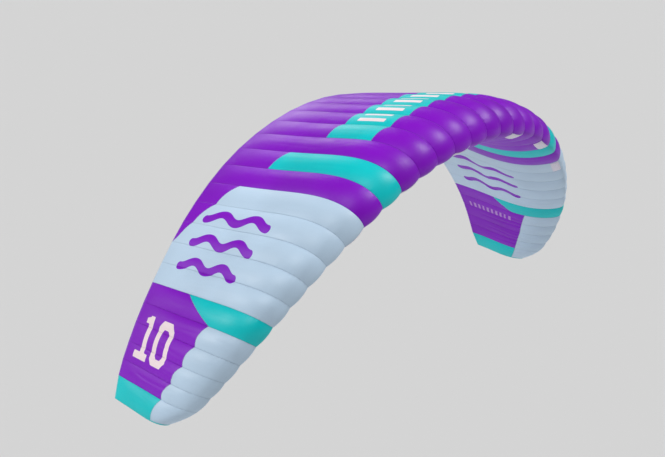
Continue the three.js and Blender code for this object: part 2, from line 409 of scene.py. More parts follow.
# %% [markdown]
# ## The colour blocks
# The kite is sewn from violet, turquoise and pale cloth. Each block ends on a seam inside a cell.
# The tables give these seams by rib, counted from the tip, as a share of the chord from the nose, and how
# far a seam bows back in the middle of a cell. Both halves are alike. The mesh keeps each point's distance
# to its seam as an attribute, in metres, so the material draws a sharp edge, however coarse the mesh, and
# can mark the sewing beside it.

# %% Colour seams
FRONT_SEAM = table(
    "rib upper lower bow",
    (0, 0.215, 0.210, 0.026),
    (1, 0.328, 0.313, 0.026),
    (2, 0.320, 0.323, 0.026),
    (3, 0.311, 0.323, 0.026),
    (4, 0.305, 0.320, 0.024),
    (5, 0.300, 0.300, 0.020),
)
DIAGONAL_SEAM = table(
    "rib upper lower bow",
    (5, 0.300, 0.430, 0.020),
    (6, 0.617, 0.610, 0.020),
)
CORNER_SEAM = table(
    "rib upper bow",
    (8, 1.000, -0.010),
    (9, 0.917, 0.010),
    (10, 0.834, 0.010),
    (11, 0.762, 0.010),
)
STRIPE_SEAM = table("rib upper bow", (12, 0.680, 0.0), (13, 0.641, 0.0))
BAND_FRONT = table("rib upper bow", (14, 0.258, 0.0), (19, 0.258, 0.0))
BAND_REAR = table("rib upper bow", (14, 0.530, 0.0), (19, 0.530, 0.0))

# cells counted from the tip: the main cloth, the cloth inlaid in it, its seams and which side is inlaid
CELL_CLOTH = table(
    "first last ground inlay seams inlaid",
    (1, 1, "teal", "pale", [FRONT_SEAM], "front"),
    (2, 5, "purple", "pale", [FRONT_SEAM], "front"),
    (6, 6, "purple", "teal", [DIAGONAL_SEAM], "front"),
    (7, 8, "pale", None, [], None),
    (9, 11, "pale", "purple", [CORNER_SEAM], "rear"),
    (12, 12, "purple", None, [], None),
    (13, 13, "teal", "purple", [STRIPE_SEAM], "rear"),
    (14, 14, "purple", None, [], None),
    (15, 19, "purple", "teal", [BAND_FRONT, BAND_REAR], "band"),
)
FAR_AWAY = 1.0


def cell_from_tip(cell):
    return min(cell, CELLS + 1 - cell)


def cloth_of(cell):
    place = cell_from_tip(cell)
    return next(row for row in CELL_CLOTH if row["first"] <= place <= row["last"])


def rib_from_tip(cell, across):
    rib = cell - 1 + across
    return rib if cell <= HALF else CELLS - rib


def seam_place(seam, skin, tip_rib):
    """Share of the chord where a colour seam runs, or None where that skin has no such seam."""
    name = "upper" if skin == UPPER else "lower"
    if name not in seam[0]:
        return None
    numbers = [row["rib"] for row in seam]
    straight = np.interp(tip_rib, numbers, [row[name] for row in seam])
    bow = np.interp(tip_rib, numbers, [row["bow"] for row in seam])
    return straight + (skin == UPPER) * bow * 4 * (tip_rib % 1) * (1 - tip_rib % 1)


def seam_distance(seam, skin, cell, across, x):
    """Distance in metres to a colour seam, positive in front of it."""
    place = seam_place(seam, skin, rib_from_tip(cell, across))
    chord = between(cell, across, ribs["chord"])
    ends = np.array([0.0, 1.0])
    seam_at = seam_place(seam, skin, rib_from_tip(cell, ends)) * between(cell, ends, ribs["chord"])
    setback = -ribs["nose"][[cell - 1, cell], 0]
    slope = (np.diff(seam_at)[0] + np.diff(setback)[0]) / cell_width(cell)
    return (place - x) * chord / math.hypot(1, slope)


def far_outside(across, x):
    return np.full(np.broadcast(across, x).shape, -FAR_AWAY)


def inlay_distance(cell, skin, across, x):
    """Distance in metres into the inlaid cloth; negative on the main cloth."""
    row = cloth_of(cell)
    if row["inlay"] is None or ("lower" not in row["seams"][0][0] and skin == LOWER):
        return far_outside(across, x)
    distances = [seam_distance(seam, skin, cell, across, x) for seam in row["seams"]]
    if row["inlaid"] == "front":
        return distances[0]
    if row["inlaid"] == "rear":
        return -distances[0]
    return np.minimum(-distances[0], distances[1])


print("cell kinds:", [(row["ground"], row["inlay"]) for row in CELL_CLOTH])

# %% [markdown]
# ## The prints
# The wing carries large plain prints: the number 10, for its size in square metres, white bars on the
# turquoise band, three plain waves on the pale cloth, and a row of small dashes under the tips. A print
# could be a thin piece of its own, but ink has no thickness. So each shape is a distance too, built from
# boxes and waves: positive inside, negative outside.

# %% Print shapes
DIGIT_FIRST_RIB = 2.36
DIGIT_RIB_PITCH = 0.186
DIGIT_TAIL_SIDE = 0.108
DIGIT_NOSE_SIDE = 0.491
DIGIT_HEIGHT = 0.404
DIGIT_STROKE = 0.050
CROSS_STROKE = 0.070
ONE_WIDTH = 0.162
ONE_STEM = 0.091
ZERO_START = 0.195
ZERO_WIDTH = 0.188
CHAMFER = (0.038, 0.062)
INNER_CHAMFER = (0.019, 0.031)
FLAG_WIDTH = 0.038
FLAG_FLAT = 0.02
FLAG_SLOPE = 0.4


def box_inside(a, b, left, right, low, high, chamfer=None):
    """Distance into a box. chamfer gives how much of each side its cut corners take."""
    to_side = np.minimum(a - left, right - a)
    to_end = np.minimum(b - low, high - b)
    inside = np.minimum(to_side, to_end)
    if chamfer:
        steep = chamfer[1] / chamfer[0]
        corner = (to_side * steep + to_end - chamfer[1]) / math.hypot(steep, 1)
        inside = np.minimum(inside, corner)
    return inside


def digit_one(a, b):
    left, right = ONE_STEM - DIGIT_STROKE / 2, ONE_STEM + DIGIT_STROKE / 2
    base = box_inside(a, b, 0, ONE_WIDTH, 0, CROSS_STROKE)
    stem = box_inside(a, b, left, right, 0, DIGIT_HEIGHT)
    under_slope = DIGIT_HEIGHT - FLAG_SLOPE * (right - FLAG_FLAT - a) - b
    flag = box_inside(a, b, left - FLAG_WIDTH, right, DIGIT_HEIGHT - CROSS_STROKE, DIGIT_HEIGHT)
    return np.maximum(np.maximum(base, stem), np.minimum(flag, under_slope))


def digit_zero(a, b):
    outer = box_inside(a, b, 0, ZERO_WIDTH, 0, DIGIT_HEIGHT, CHAMFER)
    side, cross = DIGIT_STROKE, CROSS_STROKE
    inner = box_inside(a, b, side, ZERO_WIDTH - side, cross, DIGIT_HEIGHT - cross, INNER_CHAMFER)
    return np.minimum(outer, -inner)


def number_print(cell, across, x):
    """The number 10 on both upper halves, with its foot towards the tip."""
    b = (rib_from_tip(cell, across) - DIGIT_FIRST_RIB) * DIGIT_RIB_PITCH
    to_tail = (1 - x) * between(cell, across, ribs["chord"])
    a = to_tail - DIGIT_TAIL_SIDE if cell <= HALF else DIGIT_NOSE_SIDE - to_tail
    return np.maximum(digit_one(a, b), digit_zero(a - ZERO_START, b))


DASH_FIRST_RIB = 4.05
DASH_LAST_RIB = 4.50
DASH_START = 0.44
DASH_PITCH = 0.050
DASH_SHARE = 0.52
DASH_COUNT = 10


def dash_print(cell, across, x):
    """A row of small dashes on both lower halves."""
    chord = between(cell, across, ribs["chord"])
    rib = rib_from_tip(cell, across)
    step = np.clip(np.floor((x - DASH_START) / DASH_PITCH), 0, DASH_COUNT - 1)
    start = DASH_START + step * DASH_PITCH
    a = np.minimum(x - start, start + DASH_SHARE * DASH_PITCH - x) * chord
    b = np.minimum(rib - DASH_FIRST_RIB, DASH_LAST_RIB - rib) * cell_width(cell)
    return np.minimum(a, b)


BAR_FRONT, BAR_REAR = 0.315, 0.475
BAR_PLACES = (0.28, 0.70)
BAR_HALF_WIDTH = 0.021


def bar_print(cell, across, x):
    """Two white bars in each of the seven middle cells of the band."""
    chord = between(cell, across, ribs["chord"])
    a = np.minimum(x - BAR_FRONT, BAR_REAR - x) * chord
    near = np.min([np.abs(across - place) for place in BAR_PLACES], axis=0)
    b = BAR_HALF_WIDTH - near * cell_width(cell)
    return np.minimum(a, b)


WAVE_RIBS = (7.2, 8.3, 9.4)
WAVE_SWING = 0.15
WAVE_HALF_WIDTH = 0.034
WAVE_LENGTH = 0.24
WAVE_START, WAVE_END = 0.35, 0.83


def wave_print(cell, across, x):
    """Three plain waves along the chord, with round ends."""
    inside = np.clip(x, WAVE_START, WAVE_END)
    turn = 2 * math.pi * (inside - WAVE_START) / WAVE_LENGTH
    chord = between(cell, across, ribs["chord"])
    width = cell_width(cell)
    slope = WAVE_SWING * width * 2 * math.pi / (WAVE_LENGTH * chord) * np.sin(turn)
    rib = rib_from_tip(cell, across) + WAVE_SWING * np.cos(turn)
    off = np.min([np.abs(rib - place) for place in WAVE_RIBS], axis=0) * width
    beyond = np.abs(x - inside) * chord
    return WAVE_HALF_WIDTH - np.hypot(off / np.hypot(1, slope), beyond)


# cells counted from the tip: the print on each skin, and the upper and the lower ink
PRINT_TABLE = [
    {"first": 2, "last": 5, UPPER: number_print, LOWER: dash_print, "inks": ("white", "lilac")},
    {"first": 7, "last": 10, UPPER: wave_print, LOWER: wave_print, "inks": ("purple", "purple")},
    {"first": 16, "last": 19, UPPER: bar_print, LOWER: None, "inks": ("white", "white")},
]


def print_of(cell):
    place = cell_from_tip(cell)
    return next((row for row in PRINT_TABLE if row["first"] <= place <= row["last"]), None)


def print_distance(cell, skin, across, x):
    row = print_of(cell)
    if row is None or row[skin] is None:
        return far_outside(across, x)
    return row[skin](cell, across, x)


print("prints on cells", [(row["first"], row["last"], row["inks"]) for row in PRINT_TABLE])

# %% [markdown]
# ## The cloth's finish
# The kite is coated nylon with a ripstop grid: stronger threads every 5 mm in both directions. It is satin,
# so it shines at a grazing angle. Doubled cloth makes the seams a little darker, and painted shade darkens
# the valleys beside the rib seams, where two bulges meet. A photograph of cloth could be wrapped on it, but
# nodes stay sharp at any distance. The grid reads a UV map in metres, so it follows the cloth, and the soft
# patches of colour read the object's own coordinates.

# %% Helpers for materials
def linear(red, green, blue):
    """A colour as a screen shows it, 0 to 255, as the linear values that a shader takes."""
    values = [c / 255 for c in (red, green, blue)]
    return tuple(c / 12.92 if c <= 0.04045 else ((c + 0.055) / 1.055) ** 2.4 for c in values) + (1.0,)


COLORS = {
    "purple": linear(137, 8, 204),
    "teal": linear(2, 208, 212),
    "pale": linear(198, 222, 244),
    "white": linear(255, 236, 240),
    "lilac": linear(190, 140, 222),
    "mesh": linear(240, 234, 250),
    "thread": linear(226, 224, 238),
}
RIPSTOP_PITCH = 0.005
RIPSTOP_LINE = 0.0006
WEAVE_HEIGHT = 0.00012
# darker cloth beside the rib seams: partly doubled cloth, partly painted shade for the valley between two
# bulges
SEAM_DOUBLING_AND_SHADE_REACH = 0.006
SEAM_DOUBLING_AND_SHADE = 0.90
SEW_HALF_WIDTH = 0.0045
SEW_SHADE = 0.80
SEW_FADE = 0.7
SEW_RIDGE = 0.0006
EDGE_SOFTNESS = 0.0006
GRID_SHADE = 0.94
GLOSS = 0.34
SHEEN_ROUGHNESS = 0.25
BUMP_STRENGTH = 0.6
PATCHES = {"tone": (1.6, 0.94, 1.05), "roughness": (5.0, 0.38, 0.46)}


def join(tree, value, socket):
    """Links a socket's value to another node's socket, or sets it."""
    if isinstance(value, bpy.types.NodeSocket):
        tree.links.new(value, socket)
    else:
        socket.default_value = value


def add_node(tree, kind, inputs=None, **settings):
    node = tree.nodes.new(kind)
    for key, value in settings.items():
        setattr(node, key, value)
    for key, value in (inputs or {}).items():
        join(tree, value, node.inputs[key])
    return node


class Nodes:
    """Adds nodes to a material and links them, one line each."""

    def __init__(self, name):
        self.material = bpy.data.materials.new(name)
        self.material.use_nodes = True
        self.tree = self.material.node_tree
        self.shader = self.tree.nodes["Principled BSDF"]

    def add(self, kind, inputs=None, **settings):
        return add_node(self.tree, kind, inputs, **settings)

    def join(self, value, socket):
        join(self.tree, value, socket)

    def math(self, operation, a, b=0.0, c=0.0):
        return self.add("ShaderNodeMath", {0: a, 1: b, 2: c}, operation=operation).outputs[0]

    def ramp(self, value, low, high, start=0.0, end=1.0):
        node = self.add(
            "ShaderNodeMapRange",
            {"Value": value, "From Min": low, "From Max": high, "To Min": start, "To Max": end},
            interpolation_type="SMOOTHSTEP",
        )
        return node.outputs["Result"]

    def mix(self, amount, a, b, blend_type="MIX"):
        node = self.add("ShaderNodeMix", data_type="RGBA", blend_type=blend_type)
        self.join(amount, node.inputs[0])
        self.join(a, node.inputs[6])
        self.join(b, node.inputs[7])
        return node.outputs[2]

    def attribute(self, name):
        return self.add("ShaderNodeAttribute", attribute_name=name).outputs["Fac"]

    def inside(self, distance):
        """1 where a distance is positive, 0 where it is negative, with a soft step between."""
        return self.ramp(distance, -EDGE_SOFTNESS, EDGE_SOFTNESS)


def grid_lines(nodes, pitch, half_width):
    """1 on the threads of a grid over the cloth, fading to 0 between them."""
    uv = nodes.add("ShaderNodeUVMap", uv_map="cloth").outputs[0]
    split = nodes.add("ShaderNodeSeparateXYZ", {0: uv})
    lines = []
    for axis in (0, 1):
        off = nodes.math("PINGPONG", split.outputs[axis], pitch / 2)
        lines.append(nodes.ramp(off, 0.0, half_width, 1.0, 0.0))
    return nodes.math("MAXIMUM", lines[0], lines[1])


def finish_cloth(nodes, color, roughness, sheen, relief_height):
    """Links colour, gloss and relief to the shader. Uniform values go on the shader's own sockets."""
    shader = nodes.shader
    nodes.join(color, shader.inputs["Base Color"])
    nodes.join(roughness, shader.inputs["Roughness"])
    shader.inputs["Specular IOR Level"].default_value = GLOSS
    shader.inputs["Sheen Weight"].default_value = sheen
    shader.inputs["Sheen Roughness"].default_value = SHEEN_ROUGHNESS
    inputs = {"Strength": BUMP_STRENGTH, "Distance": 1.0, "Height": relief_height}
    bump = nodes.add("ShaderNodeBump", inputs)
    nodes.join(bump.outputs[0], shader.inputs["Normal"])
    return nodes.material


def soft_patches(nodes, kind):
    """Slow changes over the cloth, between a low and a high value."""
    scale, low, high = PATCHES[kind]
    place = nodes.add("ShaderNodeTexCoord").outputs["Object"]
    noise = nodes.add("ShaderNodeTexNoise", {"Vector": place, "Scale": scale, "Detail": 3.0})
    return nodes.ramp(noise.outputs["Fac"], 0.3, 0.7, low, high)


def shade(nodes, color, factor):
    """Colour multiplied by a grey factor."""
    grey = nodes.add("ShaderNodeCombineColor", {0: factor, 1: factor, 2: factor}).outputs[0]
    return nodes.mix(1.0, color, grey, "MULTIPLY")


def cloth_material(ground, inlay=None, inks=None):
    """Coated ripstop nylon with an inlaid colour and a print, where the cell has them."""
    nodes = Nodes("_".join(filter(None, ("ripstop", ground, inlay, *(inks or ())))))
    lines = grid_lines(nodes, RIPSTOP_PITCH, RIPSTOP_LINE)
    color = COLORS[ground]
    height = nodes.math("MULTIPLY", lines, WEAVE_HEIGHT)
    sewn = None
    if inlay:
        edge = nodes.attribute("inlay_edge")
        color = nodes.mix(nodes.inside(edge), color, COLORS[inlay])
        off = nodes.math("ABSOLUTE", edge)
        sewn = nodes.ramp(off, SEW_FADE * SEW_HALF_WIDTH, SEW_HALF_WIDTH, SEW_SHADE, 1.0)
        ridge = nodes.ramp(off, 0.0, SEW_HALF_WIDTH, 0.0, SEW_RIDGE)
        height = nodes.math("ADD", height, ridge)
    if inks:
        inked = nodes.inside(nodes.attribute("print_edge"))
        ink = nodes.mix(nodes.attribute("upper_side"), COLORS[inks[1]], COLORS[inks[0]])
        color = nodes.mix(inked, color, ink)
    # painted shade, with the darker doubled cloth, near the rib seams and near the end panels' rims
    gap = nodes.attribute("seam_gap")
    factor = nodes.ramp(gap, 0.0, SEAM_DOUBLING_AND_SHADE_REACH, SEAM_DOUBLING_AND_SHADE, 1.0)
    if sewn:
        factor = nodes.math("MULTIPLY", factor, sewn)
    factor = nodes.math("MULTIPLY", factor, soft_patches(nodes, "tone"))
    factor = nodes.math("MULTIPLY", factor, nodes.ramp(lines, 0.0, 1.0, 1.0, GRID_SHADE))
    color = shade(nodes, color, factor)
    return finish_cloth(nodes, color, soft_patches(nodes, "roughness"), 0.0, height)


cloth_kinds = {}


def material_for(cell):
    """The material of a cell's kind, made once."""
    row, printed = cloth_of(cell), print_of(cell)
    kind = (row["ground"], row["inlay"], printed and printed["inks"])
    if kind not in cloth_kinds:
        cloth_kinds[kind] = cloth_material(*kind)
    return cloth_kinds[kind]


print("finish for a tip cell:", material_for(1).name)

# %% [markdown]
# ## Cell by cell
# A cell's mesh is a loop of points round the rib's outline, repeated across the cell and closed by a flat
# wall at each rib. Numpy works out all its points in one go. Lines lie closer together near the rib seams
# and the nose, where the cloth turns most, and two extra lines hold the step of the hem.

# %% Mesh helpers
ACROSS_STEPS = 28
SEAM_PACKING = 0.5
CHORD_STEP = 0.0113
NOSE_PACKING = 6.0


def across_lines():
    """Places of a cell's lines between its ribs, closer together near both."""
    t = np.linspace(0, 1, ACROSS_STEPS + 1)
    packed = (1 - np.cos(math.pi * t)) / 2
    lines = (1 - SEAM_PACKING) * t + SEAM_PACKING * packed
    lines[-1] = 1.0
    return lines


def way_lines(chord):
    """The ways of one skin's lines from nose to tail, without the nose itself."""
    hem_lines = 1 - np.array([HEM_WIDTH + HEM_STEP, HEM_WIDTH, HEM_WIDTH / 2, 0]) / chord
    last = 1 - (HEM_WIDTH + 3 * HEM_STEP) / chord
    t = np.linspace(0, 1, round(chord / CHORD_STEP) + 1)[1:]
    x = (np.sqrt(1 + (NOSE_PACKING * t) ** 2) - 1) / (math.sqrt(1 + NOSE_PACKING ** 2) - 1)
    return np.sqrt(np.concatenate([x * last, hem_lines]))


def mesh_object(name, points, faces, material):
    mesh = bpy.data.meshes.new(name)
    mesh.from_pydata(points.reshape(-1, 3).tolist(), [], faces)
    mesh.materials.append(material)
    return link(bpy.data.objects.new(name, mesh))


def add_values(piece, name, values):
    layer = piece.data.attributes.new(name, "FLOAT", "POINT")
    layer.data.foreach_set("value", np.asarray(values, np.float32).ravel())


def add_uv(piece, places):
    """A UV map in metres. places holds a pair for each point of the mesh."""
    layer = piece.data.uv_layers.new(name="cloth")
    corners = np.zeros(len(piece.data.loops), np.int32)
    piece.data.loops.foreach_get("vertex_index", corners)
    layer.data.foreach_set("uv", places[corners].astype(np.float32).ravel())


def arc_lengths(points):
    """Distance walked along a row of points, starting at 0."""
    steps = np.linalg.norm(np.diff(points, axis=0), axis=1)
    return np.concatenate([[0.0], np.cumsum(steps)])


def on_skins(distance, cell, across, way):
    """A distance measured on the upper skin where way is positive, and on the lower skin elsewhere."""
    lower, upper = (distance(cell, skin, across, way * way) for skin in (LOWER, UPPER))
    return np.where(way < 0, lower, upper)


def make_cell(cell):
    node = f"cell_{cell:02d}"
    chord = float(ribs["chord"][cell - 1] + ribs["chord"][cell]) / 2
    one_skin = way_lines(chord)
    ways = np.concatenate([-one_skin[::-1], [0.0], one_skin])
    lines = across_lines()
    across, way = np.meshgrid(lines, ways, indexing="ij")
    points = cloth_point(cell, across, way)
    rows, size = across.shape
    index = np.arange(rows * size).reshape(rows, size)
    a, b = index[:-1], index[1:]
    quads = np.stack([a, b, np.roll(b, -1, 1), np.roll(a, -1, 1)], -1).reshape(-1, 4)
    faces = quads.tolist()
    nose = len(one_skin)
    for start, flipped in ((0, False), ((rows - 1) * size, True)):
        for i in range(nose):
            low, high = start + nose - i, start + nose + i
            wall = [low, high, high + 1, low - 1] if i else [low, high + 1, low - 1]
            faces.append(wall[::-1] if flipped else wall)
    piece = mesh_object(f"cell_cloth_{cell:02d}", points, faces, material_for(cell))
    add_values(piece, "inlay_edge", on_skins(inlay_distance, cell, across, way))
    add_values(piece, "print_edge", on_skins(print_distance, cell, across, way))
    add_values(piece, "upper_side", way > 0)
    # distance to the nearer rib seam, where the material paints shade and the darker doubled cloth
    add_values(piece, "seam_gap", np.minimum(across, 1 - across) * cell_width(cell))
    run = arc_lengths(points[rows // 2])
    add_uv(piece, np.stack([across * cell_width(cell), np.broadcast_to(run, way.shape)], -1).reshape(-1, 2))
    smooth_faces = np.zeros(len(faces), bool)
    smooth_faces[: len(quads)] = True
    piece.data.polygons.foreach_set("use_smooth", smooth_faces)
    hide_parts(node)
    f"{cloth_of(cell)['ground']}_cloth"
    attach(piece, "root")
    return piece


# %% Make the cells
cells = [make_cell(cell) for cell in range(1, CELLS + 1)]
apart = 0.0
for cell, piece in enumerate(cells, 1):
    low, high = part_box(f"cell_{cell:02d}")
    mine = np.array([v.co for v in piece.data.vertices])
    apart = max(apart, np.abs(mine.min(0) - low).max(), np.abs(mine.max(0) - high).max())
print(len(cells), "cells,", sum(len(p.data.polygons) for p in cells), "faces,",
      "largest difference from the solids' boxes", round(apart * 1000, 1), "mm")

# %% [markdown]
# ## End panels
# A small panel of turquoise cloth closes each tip. Air pushes it out into a shallow dome. It is made of half
# rings from the upper to the lower edge of the last rib, nose to tail, a bit further out at its middle.

# %% End panels
END_DEPTH = 0.35
END_RING_STEPS = 16
END_PUCKER = 0.0012
END_PUCKER_RUN = 68
END_DRIFT, END_DRIFT_RUN = 3, 5
END_RIM, END_RIM_WIDTH = 0.35, 0.25
END_NOSE_RISE = 6
END_GAP, END_GAP_AT_RIM = 0.1, 0.002
END_UV_RADIUS = 0.05


def end_point(index, way, angle):
    """Points of an end panel's dome. angle runs from 0 at the upper edge to pi at the lower one."""
    high, low = rib_point(index, way), rib_point(index, -way)
    middle, radius = (high + low) / 2, (high - low) / 2
    reach = np.linalg.norm(radius, axis=-1) * END_DEPTH * np.sin(angle) + PIECE_GAP / 2
    ripple = np.sin(END_PUCKER_RUN * way + END_DRIFT * np.sin(END_DRIFT_RUN * way)) * np.sin(angle)
    at_rim = np.exp(-((np.sin(angle) - END_RIM) / END_RIM_WIDTH) ** 2)
    fade = (1 - way ** TAIL_FADE) * np.minimum(1, way * END_NOSE_RISE)
    reach = reach + END_PUCKER * ripple * at_rim * fade
    side = -1 if index == 0 else 1
    point = middle + radius * np.cos(angle)[..., None]
    return point + ribs["along"][index] * (side * reach)[..., None]


def make_end_panel(index, node):
    one_skin = np.concatenate([[0.0], way_lines(float(ribs["chord"][index]))])
    angles = np.linspace(0, math.pi, END_RING_STEPS + 1)
    way, angle = np.meshgrid(one_skin, angles, indexing="ij")
    rings = end_point(index, way, angle)
    size = END_RING_STEPS + 1
    points = np.concatenate([rings[0, :1], rings[1:].reshape(-1, 3)])
    ring = [1 + i * size for i in range(len(one_skin) - 1)]
    faces = [[0, ring[0] + k, ring[0] + k + 1] for k in range(END_RING_STEPS)]
    faces.append([0, ring[0] + END_RING_STEPS, ring[0]])
    for a, b in zip(ring, ring[1:]):
        faces += [[a + k, b + k, b + k + 1, a + k + 1] for k in range(END_RING_STEPS)]
        faces.append([a + END_RING_STEPS, b + END_RING_STEPS, b, a])
    faces.append([ring[-1] + k for k in range(size)][::-1])
    if index != 0:
        faces = [face[::-1] for face in faces]
    piece = mesh_object(node.replace("end_panel", "end_cloth"), points, faces, end_material)
    # the end panel's seam distance: small at its rim and towards the nose, where the material paints seam
    # shade
    gap = np.sin(angle) * np.abs(way) * END_GAP + END_GAP_AT_RIM
    run = way * way * ribs["chord"][index]
    pairs = np.stack([angle * END_UV_RADIUS, run], -1)
    add_values(piece, "seam_gap", np.concatenate([[0.0], gap[1:].ravel()]))
    add_uv(piece, np.concatenate([pairs[0, :1], pairs[1:].reshape(-1, 2)]))
    piece.data.polygons.foreach_set("use_smooth", [True] * len(faces))
    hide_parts(node)
    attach(piece, "root")
    return piece


end_material = cloth_material("teal")
end_panels = [make_end_panel(0, "end_panel_near"), make_end_panel(CELLS, "end_panel_far")]
print("end panels with", [len(p.data.polygons) for p in end_panels], "faces")

# %% [markdown]
# ## Intake covers
# Air enters through openings on the lower side of the nose. A patch of open, near white weave lies over
# each one. It is a thin sheet stretched on the cell, so it is built as two layers of the cell's own curve,
# half a millimetre clear of it and closed round the rim, and its flat size is printed.

# %% Weave of the intake covers
MESH_PITCH = 0.0022
MESH_THREAD = 0.4
MESH_HEIGHT = 0.0003
MESH_GAP_SHADE = 0.80
MESH_RIM, MESH_RIM_SHADE = 0.010, 1.06
MESH_ROUGHNESS, MESH_SHEEN = 0.65, 0.15


def intake_material():
    nodes = Nodes("open_weave_white")
    thread = grid_lines(nodes, MESH_PITCH, MESH_PITCH * MESH_THREAD)
    color = shade(nodes, COLORS["mesh"], nodes.ramp(thread, 0.0, 1.0, MESH_GAP_SHADE, 1.0))
    rim = nodes.ramp(nodes.attribute("seam_gap"), 0.0, MESH_RIM, MESH_RIM_SHADE, 1.0)
    height = nodes.math("MULTIPLY", thread, MESH_HEIGHT)
    return finish_cloth(nodes, shade(nodes, color, rim), MESH_ROUGHNESS, MESH_SHEEN, height)


# %% Intake covers
INTAKE_CELLS = (11, 14, 17, 21, 24, 27)
INTAKE_LIFT = 0.0005
INTAKE_THICKNESS = 0.0015
INTAKE_FRONT = -1 / 14
INTAKE_REAR = -3 / 14
INTAKE_SIDE = 0.04
INTAKE_ACROSS_STEPS = 24
INTAKE_CHORD_STEPS = 12


def make_intake(cell):
    across, way = np.meshgrid(
        np.linspace(INTAKE_SIDE, 1 - INTAKE_SIDE, INTAKE_ACROSS_STEPS + 1),
        np.linspace(INTAKE_FRONT, INTAKE_REAR, INTAKE_CHORD_STEPS + 1),
        indexing="ij",
    )
    under = cloth_point(cell, across, way, lift=INTAKE_LIFT)
    over = cloth_point(cell, across, way, lift=INTAKE_LIFT + INTAKE_THICKNESS)
    rows, size = across.shape
    index = np.arange(rows * size).reshape(rows, size)
    a, b, c, d = index[:-1, :-1], index[1:, :-1], index[1:, 1:], index[:-1, 1:]
    inner = np.stack([a, b, c, d], -1).reshape(-1, 4)
    faces = inner.tolist() + (inner[:, ::-1] + rows * size).tolist()
    rim = [*index[:, 0], *index[-1, 1:], *index[-2::-1, -1], *index[0, -2:0:-1]]
    for i, j in zip(rim, rim[1:] + rim[:1]):
        faces.append([j, i, i + rows * size, j + rows * size])
    faces = [[int(v) for v in face] for face in faces]
    piece = mesh_object(f"intake_cover_{cell}", np.stack([under, over]), faces, open_weave)
    width = arc_lengths(over[:, size // 2])
    length = arc_lengths(over[rows // 2])
    pairs = np.stack(np.meshgrid(width, length, indexing="ij"), -1).reshape(-1, 2)
    add_uv(piece, np.concatenate([pairs, pairs]))
    edge = np.minimum(
        np.minimum(pairs[:, 0], width[-1] - pairs[:, 0]), np.minimum(pairs[:, 1], length[-1] - pairs[:, 1])
    )
    add_values(piece, "seam_gap", np.concatenate([edge, edge]))
    flat_faces = len(rim)
    shading = [True] * (len(faces) - flat_faces) + [False] * flat_faces
    piece.data.polygons.foreach_set("use_smooth", shading)
    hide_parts(f"intake_{cell}")
    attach(piece, "root")
    return piece, float(width[-1]), float(length[-1])


open_weave = intake_material()
for cell in INTAKE_CELLS:
    piece, width, length = make_intake(cell)
    print(piece.name, round(width, 3), "by", round(length, 3), "m")

# %% [markdown]
# ## Stitches
# Where two colours meet the cloth is sewn with two rows, and one row holds the hem, the intake covers and
# the end panels. Thousands of stitches are too many to place one by one. Each row is a line of points on
# the cloth, and Geometry Nodes put a small thread on every few millimetres of it, turned along the line.
# The tree ends with real geometry, which is then kept as a plain mesh.

# %% Stitch rows as lines on the cloth
ROW_OFFSET = 0.0032
THREAD_LIFT = 0.0003
HEM_ROW = 0.009
ROW_ACROSS = np.linspace(0.01, 0.99, 24)
OUTWARD_STEP = 0.01
INTAKE_ROW_POINTS = 24
INTAKE_ROW_ACROSS = 0.03
INTAKE_ROW_WAY = 0.006
END_ROW_ACROSS = 0.035
END_ROW_WAYS = np.linspace(0.02, math.sqrt(0.98), 90)


def lines_object(name, lines):
    """A mesh of bare edges. lines holds pairs of arrays: points and outward directions."""
    points, edges, outward = [], [], []
    for places, directions in lines:
        first = len(points)
        points += places.tolist()
        outward += directions.tolist()
        edges += [(first + i, first + i + 1) for i in range(len(places) - 1)]
    mesh = bpy.data.meshes.new(name)
    mesh.from_pydata(points, edges, [])
    layer = mesh.attributes.new("outward", "FLOAT_VECTOR", "POINT")
    layer.data.foreach_set("vector", np.array(outward, np.float32).ravel())
    return link(bpy.data.objects.new(name, mesh))


def cloth_line(cell, across, way, lift=THREAD_LIFT):
    """A line of points just above a cell's cloth, with the outward direction at each."""
    points = cloth_point(cell, across, way, lift=lift)
    above = cloth_point(cell, across, way, lift=lift + OUTWARD_STEP)
    return points, unit(above - points)


def color_seam_lines():
    lines = []
    for cell in range(1, CELLS + 1):
        chord = between(cell, ROW_ACROSS, ribs["chord"])
        for seam in cloth_of(cell)["seams"]:
            for skin in (UPPER, LOWER):
                place = seam_place(seam, skin, rib_from_tip(cell, ROW_ACROSS))
                if place is None:
                    continue
                for offset in (-ROW_OFFSET, ROW_OFFSET):
                    x = np.clip(place + offset / chord, 0.0, 1 - HEM_WIDTH / chord)
                    lines.append(cloth_line(cell, ROW_ACROSS, skin * np.sqrt(x)))
    return lines


def hem_lines():
    lines = []
    for cell in range(1, CELLS + 1):
        x = 1 - HEM_ROW / between(cell, ROW_ACROSS, ribs["chord"])
        for skin in (UPPER, LOWER):
            lines.append(cloth_line(cell, ROW_ACROSS, skin * np.sqrt(x)))
    return lines


def intake_lines():
    """A row just inside the rim of each intake cover."""
    lift = INTAKE_LIFT + INTAKE_THICKNESS + THREAD_LIFT
    side = INTAKE_SIDE + INTAKE_ROW_ACROSS
    front, rear = INTAKE_FRONT - INTAKE_ROW_WAY, INTAKE_REAR + INTAKE_ROW_WAY
    t = np.linspace(0, 1, INTAKE_ROW_POINTS)
    corners = [(side, front), (1 - side, front), (1 - side, rear), (side, rear), (side, front)]
    lines = []
    for cell in INTAKE_CELLS:
        for (a0, w0), (a1, w1) in zip(corners, corners[1:]):
            across, way = a0 + (a1 - a0) * t, w0 + (w1 - w0) * t
            lines.append(cloth_line(cell, across, way, lift))
    return lines


def end_panel_lines():
    """A row on the outermost cells, round the rim that the end panels are sewn to."""
    lines = []
    for cell, across in ((1, END_ROW_ACROSS), (CELLS, 1 - END_ROW_ACROSS)):
        for skin in (UPPER, LOWER):
            lines.append(cloth_line(cell, across, skin * END_ROW_WAYS))
    return lines


